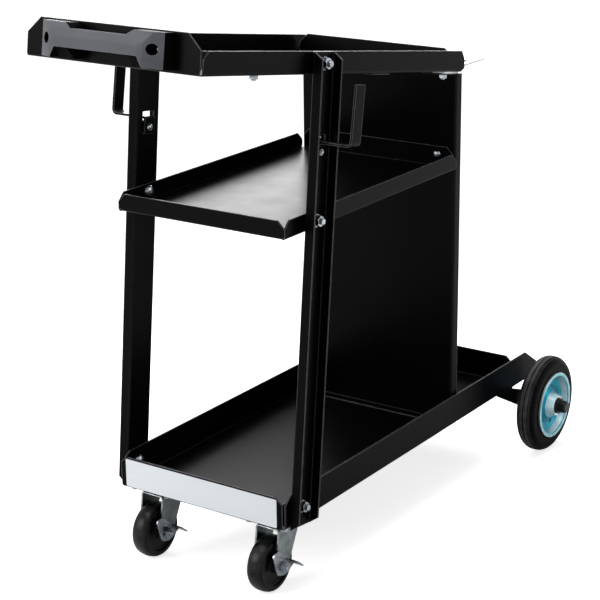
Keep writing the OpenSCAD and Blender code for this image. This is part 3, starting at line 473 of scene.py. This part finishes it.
# Distances from the middle and heights, each with the Y of the front there
FROM_ABOVE = ([0, 62, 66, 70, 75, HALF_W], [-30.5, -30.5, -30.1, -29.0, -26.6, -17.5])
FROM_SIDE = ([LOW_MM, 6, 30, 32.5, 38.5, 40.5, TOP_MM],
             [-28.5, -30.5, -30.5, -29.8, -27.2, -26.3, -23.5])


def cheek(z):
    """Where the hollow ends along X: CHEEK_X at the grip, and CHEEK_LEAN more at the bottom."""
    return CHEEK_X + CHEEK_LEAN * np.clip((GRIP_LOW - z) / (GRIP_LOW - LOW_MM), 0, 1)


def front_depth(x, z, square):
    """Y of the front: the greater of the two lines, the gussets below the grip, which lean
    back as they go down, and the floor of the pockets, whose walls stand between 0.97 and 1
    of their radius. Square is the greater of the X and Z distances from a pocket's centre."""
    depth = np.maximum(np.interp(x, *FROM_ABOVE), np.interp(z, *FROM_SIDE))
    hollow = (z < GRIP_LOW) & (x < cheek(z))
    depth = np.where(hollow, GUSSET_Y + GUSSET_LEAN * (GRIP_LOW - z), depth)
    return np.where(square < 0.98 * POCKET_R, POCKET_Y, depth)


print("front of the grip:", front_depth(np.array(0.0), np.array(25.0), np.array(99.0)), "mm")

# %% [markdown]
# ## Round pockets in a square grid
# A grid has straight lines and the pockets are round. A finer grid would draw them as
# stairs. It is better to draw the square rings of lines round each pocket into circles,
# and to let that fade out before the next edge.

# %% Grid of the handle
HAIR = 0.1  # half the width of a sharp step
RINGS = POCKET_R * np.array([-1.5, -1, -0.97, -0.7, -0.35, 0, 0.35, 0.7, 0.97, 1, 1.5])
right_lines = np.concatenate([
    [20, SLOPE_X[0], GAP_X - HAIR, GAP_X + HAIR, SLOPE_X[1], CHEEK_X - HAIR, CHEEK_X + HAIR],
    POCKET_X + RINGS, [HALF_W]])
x_lines = np.concatenate([-right_lines[::-1], right_lines])
low_lines = [LOW_MM, 6, 11, GRIP_LOW - HAIR, GRIP_LOW + HAIR]
z_lines = np.concatenate([low_lines, POCKET_Z + RINGS[1:], [38.5, GRIP_TOP]])
RISE = np.array([0.15, 0.6, 1.0])  # shares of the blocks' rise above the grip


def round_off(x, z):
    """A point at square distance s from a pocket's centre goes to distance s from it, and
    this fades out from R to 1.5 R. Gives the new x and z, and s."""
    a, b = abs(x) - POCKET_X, z - POCKET_Z
    square = np.maximum(abs(a), abs(b))
    pull = np.where(square > 0, square / np.maximum(np.hypot(a, b), 1e-9), 1.0)
    share = np.clip((1.5 * POCKET_R - square) / (0.5 * POCKET_R), 0, 1)
    scale = np.where(square < 1.5 * POCKET_R, 1 + (pull - 1) * share, 1.0)
    return np.sign(x) * (POCKET_X + a * scale), POCKET_Z + b * scale, square


def handle_grid():
    """Points of the front and of the back, the cells in use, and the ones in the pockets and on
    the gussets that are painted black as shade. Rows run along X and columns up Z. Above the
    grip's top the columns share the rise to the blocks."""
    x, z = np.meshgrid(x_lines, np.concatenate([z_lines, GRIP_TOP + RISE]), indexing="ij")
    high = np.interp(abs(x), SLOPE_X, [GRIP_TOP + LEAST_RISE, TOP_MM])
    z = np.where(z > GRIP_TOP, GRIP_TOP + (z - GRIP_TOP) * (high - GRIP_TOP), z)
    at_cheek = abs(abs(x) - CHEEK_X) < 2 * HAIR
    x = np.where(at_cheek, x + np.sign(x) * (cheek(z) - CHEEK_X), x)
    x, z, square = round_off(x, z)
    front = np.stack([x, front_depth(abs(x), z, square), z], -1)
    back = np.stack([x, np.where(abs(x) < GAP_X, GRIP_BACK, 0.0), z], -1)
    middle = abs(x_lines[1:] + x_lines[:-1])[:, None] / 2
    column = np.arange(z.shape[1] - 1)[None, :]
    below = (middle < GAP_X) & (column < len(low_lines) - 1)
    above = (middle < SLOPE_X[0]) & (column >= len(z_lines) - 1)
    centre = (square[1:, 1:] + square[:-1, :-1]) / 2
    gusset = (middle < CHEEK_X) & (column < len(low_lines) - 2)
    return front, back, ~(below | above), gusset | (centre < 0.999 * POCKET_R)


front, back, used, black = handle_grid()
print(used.sum(), "cells in use,", black.sum(), "of them black")

# %% [markdown]
# ## From two grids to a closed mesh
# A front and a back alone are two sheets. The cells at the border of what is used get a strip
# that joins them, which is what Blender's Solidify would do for a wall of one thickness.
# Ours changes from place to place, so we find the border cells with a shifted copy of the
# mask. What looks sideways gets the matt black finish as painted shade, which the cross
# product of a face's diagonals tells.

# %% Closed mesh


def closed_relief(front, back, used, marked):
    """Faces of a plate between two grids of points: the front, the back and a rim wherever a
    used cell has no used neighbour. The last value is true for marked cells of the front."""
    number = np.arange(front[..., 0].size).reshape(front.shape[:2])
    deep = number + number.size
    i, j = np.nonzero(used)
    corners = [(i, j), (i + 1, j), (i + 1, j + 1), (i, j + 1)]
    faces = [np.stack([number[c] for c in corners], -1),
             np.stack([deep[c] for c in corners[::-1]], -1)]
    marks = [marked[used], 0 * i]
    for row, column, a, b in ((0, -1, 0, 1), (1, 0, 1, 2), (0, 1, 2, 3), (-1, 0, 3, 0)):
        free = ~np.pad(used, 1)[i + 1 + row, j + 1 + column]
        p, q = corners[a], corners[b]
        faces.append(np.stack([number[q], number[p], deep[p], deep[q]], -1)[free])
        marks.append(0 * i[free])
    points = np.concatenate([front.reshape(-1, 3), back.reshape(-1, 3)])
    return points, np.concatenate(faces), np.concatenate(marks).astype(bool)


def sideways(points, faces):
    """Which faces look mostly along X: there the X of the cross product of their diagonals is
    more than half of its length."""
    a, b, c, d = (points[faces[:, k]] for k in range(4))
    across = np.cross(c - a, d - b)
    return abs(across[:, 0]) > 0.5 * np.linalg.norm(across, axis=1)


points, faces, marks = closed_relief(front, back, used, black)
print(len(faces), "faces")

# %% Place the handle
TRAY_TILT, TRAY_AT = math.radians(8.8), (0.0, -423.4473, 721.5)


def from_tray(points):
    """Top tray axes in mm to the row frame in metres: a turn by the tilt about X and a shift."""
    turn = Matrix.Rotation(-TRAY_TILT, 3, "X")
    return (points @ np.array(turn).T + np.array(TRAY_AT)) * MM


def new_piece(name, points, faces, materials, tints=None, smooth=False):
    """An object from arrays of points in metres and of faces, without its loose points. Tints
    give each face its material."""
    kept, faces = np.unique(faces, return_inverse=True)
    mesh = bpy.data.meshes.new(name)
    mesh.from_pydata(points[kept].tolist(), [], faces.reshape(-1, 4).tolist())
    for material in materials:
        mesh.materials.append(material)
    if tints is not None:
        mesh.polygons.foreach_set("material_index", np.asarray(tints, dtype=np.int32))
    mesh.polygons.foreach_set("use_smooth", np.full(len(mesh.polygons), smooth))
    piece = bpy.data.objects.new(name, mesh)
    bpy.context.scene.collection.objects.link(piece)
    return piece


# The marked cells and the faces that look sideways get the matt black as painted shade.
handle = new_piece("handle_moulding", from_tray(points), faces,
                   [finishes["grey_plastic"], finishes["recess"]],
                   marks | sideways(points, faces))
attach(handle, "cart")
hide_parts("handle")
print(handle.name, len(handle.data.polygons), "faces")

# %% [markdown]
# ## Crowned caster treads
# The rubber of the casters has a round crown, which draws the soft highlight down its front.
# A torus would be too round, and a bevelled cylinder leaves a flat. A superellipse lies
# between the two: at u, from -1 to 1 across the width, the radius is
# inner + (outer - inner) (1 - |u|^p)^(1/p). We turn it about the axle. The box of the CAD
# tread gives its place and its size, so the new one can't outgrow it.

# %% Caster treads
CROWN_POWER, TREAD_MM = 2.3, 5.9
ACROSS, AROUND = 25, 128  # points over the crown and round the wheel


def crowned_tread(node, body):
    """A closed ring turned about X, in the place of the node and inside its box."""
    low, high = (np.array(corner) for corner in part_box(node))
    centre, half = (low + high) / 2, (high[0] - low[0]) / 2
    outer = (high[2] - low[2]) / 2
    inner = outer - TREAD_MM * MM
    u = np.sin(np.linspace(-np.pi / 2, np.pi / 2, ACROSS))
    radius = inner + (outer - inner) * (1 - abs(u) ** CROWN_POWER) ** (1 / CROWN_POWER)
    across = half * np.append(u, [0.5, -0.5])
    radius = np.append(radius, [inner, inner])
    turn = np.linspace(0, 2 * np.pi, AROUND, endpoint=False)[:, None]
    ring = np.stack([across + 0 * turn, radius * np.cos(turn), radius * np.sin(turn)], -1)
    n = len(across)
    i, j = np.meshgrid(np.arange(AROUND), np.arange(n), indexing="ij")
    a, b = (i + 1) % AROUND, (j + 1) % n
    faces = np.stack([i * n + j, i * n + b, a * n + b, a * n + j], -1).reshape(-1, 4)
    made = new_piece(node + "_crown", ring.reshape(-1, 3) + centre, faces,
                     [finishes["caster_rubber"]], smooth=True)
    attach(made, body)
    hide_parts(node)
    return made


for hand in ("left", "right"):
    crown = crowned_tread(hand + "_caster_tread", hand + "_caster_wheel")
    print(crown.name, len(crown.data.polygons), "faces")

# %% [markdown]
# ## The studio
# The floor and the walls are white, and soft boxes stand round the cart. Black gloss shows
# its room, so what matters is where the boxes stand. More light on the cart would bleach the
# zinc and the plate, so the white that the camera and the mirrors see is set apart from the
# light that falls on the cart: the Light Path node tells the two kinds of ray apart. In the
# mirrors the floor grows darker close to the cart, where the cart itself would shade it.

# %% World
ROOM_LIGHT, WHITE = 0.32, 1.0  # what falls on the cart, and what is seen


def greatest(tree, *values):
    """The greatest of the values, two at a time."""
    so_far = values[0]
    for value in values[1:]:
        so_far = add(tree, "Math", {0: so_far, 1: value}, operation="MAXIMUM")
    return so_far


world = bpy.data.worlds.new("studio")
bpy.context.scene.world = world
world.use_nodes = True
tree = world.node_tree
tree.nodes.clear()
rays = add(tree, "LightPath").node.outputs
seen = greatest(tree, rays["Is Camera Ray"], rays["Is Glossy Ray"], rays["Is Transmission Ray"])
strength = add(tree, "MapRange", {"Value": seen, "To Min": ROOM_LIGHT, "To Max": WHITE})
add(tree, "OutputWorld", {"Surface": add(tree, "Background", {
    "Color": (1.0, 1.0, 1.0, 1.0), "Strength": strength})})
print("walls seen at", WHITE, "and lighting at", ROOM_LIGHT)

# %% Floor
FLOOR_RADIUS, FLOOR_GLOW = 30.0, 0.74
DIM_GLOW, DIM_FROM, DIM_TO = 0.05, 0.7, 1.6  # mirrored glow by the cart, and where it grows


def disc(name, radius, material, rings=2, sides=96):
    """Flat ring-by-ring disc: x = r cos a, y = r sin a, with r from 0 to radius."""
    r, a = np.meshgrid(np.linspace(0, radius, rings + 1),
                       np.linspace(0, 2 * np.pi, sides, False), indexing="ij")
    points = np.stack([r * np.cos(a), r * np.sin(a), 0 * r], -1).reshape(-1, 3)
    i, j = np.meshgrid(np.arange(rings), np.arange(sides), indexing="ij")
    k = (j + 1) % sides
    faces = np.stack([i * sides + j, (i + 1) * sides + j, (i + 1) * sides + k, i * sides + k], -1)
    return new_piece(name, points, faces, [material])


floor_paint, tree, point = start_finish("white_floor")
rays = add(tree, "LightPath").node.outputs
away = add(tree, "VectorMath", {0: point}, "Value", operation="LENGTH")
in_mirrors = add(tree, "MapRange", {"Value": away, "From Min": DIM_FROM, "From Max": DIM_TO,
                                    "To Min": DIM_GLOW, "To Max": FLOOR_GLOW})
straight = greatest(tree, rays["Is Camera Ray"], rays["Is Transmission Ray"])
glow = add(tree, "Math", {
    0: add(tree, "Math", {0: straight, 1: FLOOR_GLOW}, operation="MULTIPLY"),
    1: add(tree, "Math", {0: rays["Is Glossy Ray"], 1: in_mirrors}, operation="MULTIPLY")})
add(tree, "OutputMaterial", {"Surface": add(tree, "AddShader", {
    0: add(tree, "BsdfDiffuse", {"Color": paint("f4f4f4")}),
    1: add(tree, "Emission", {"Strength": glow})})})
floor = disc("studio_floor", FLOOR_RADIUS, floor_paint)
print(floor.name, "of", FLOOR_RADIUS, "m")

# %% [markdown]
# ## Soft boxes
# A low, wide box on the left behind the cart is mirrored in the floor of the shelf, which
# tells the eye that the black is gloss. The key and the top box light the fronts and the
# floors, and the one on the right draws the side walls. Area lamps are used because their
# size sets how soft both the shadow and the mirrored patch are.

# %% Four boxes
MIDDLE_OF_CART, SHELF = (0.0, 0.0, 0.45), (0.0, 0.0, 0.5)
BOXES = [  # name, place and aim in metres, width and height, watts
    ("box_key", (-1.7, -2.6, 1.7), MIDDLE_OF_CART, (1.5, 1.5), 46),
    ("box_top", (-0.3, -0.5, 2.9), MIDDLE_OF_CART, (2.0, 2.0), 58),
    ("box_shelf", (-0.52, 0.62, 0.76), SHELF, (0.9, 0.34), 8.2),
    ("box_right", (2.4, 1.6, 0.9), MIDDLE_OF_CART, (0.9, 1.4), 6)]


def soft_box(name, place, aim, size, watts):
    """A rectangular lamp turned to its aim, which the camera doesn't see."""
    lamp = bpy.data.lights.new(name, "AREA")
    lamp.shape = "RECTANGLE"
    lamp.size, lamp.size_y = size
    lamp.energy = watts
    stand = bpy.data.objects.new(name, lamp)
    stand.rotation_euler = (Vector(place) - Vector(aim)).to_track_quat("Z", "Y").to_euler()
    stand.location = place
    stand.visible_camera = False
    bpy.context.scene.collection.objects.link(stand)
    return stand


print([soft_box(*box).name for box in BOXES])
bpy.context.scene.view_settings.view_transform = "Standard"

# %% [markdown]
# ## Closing
# The dressed cart must not outgrow the CAD model.

# %% Finish
print("cart dressed")
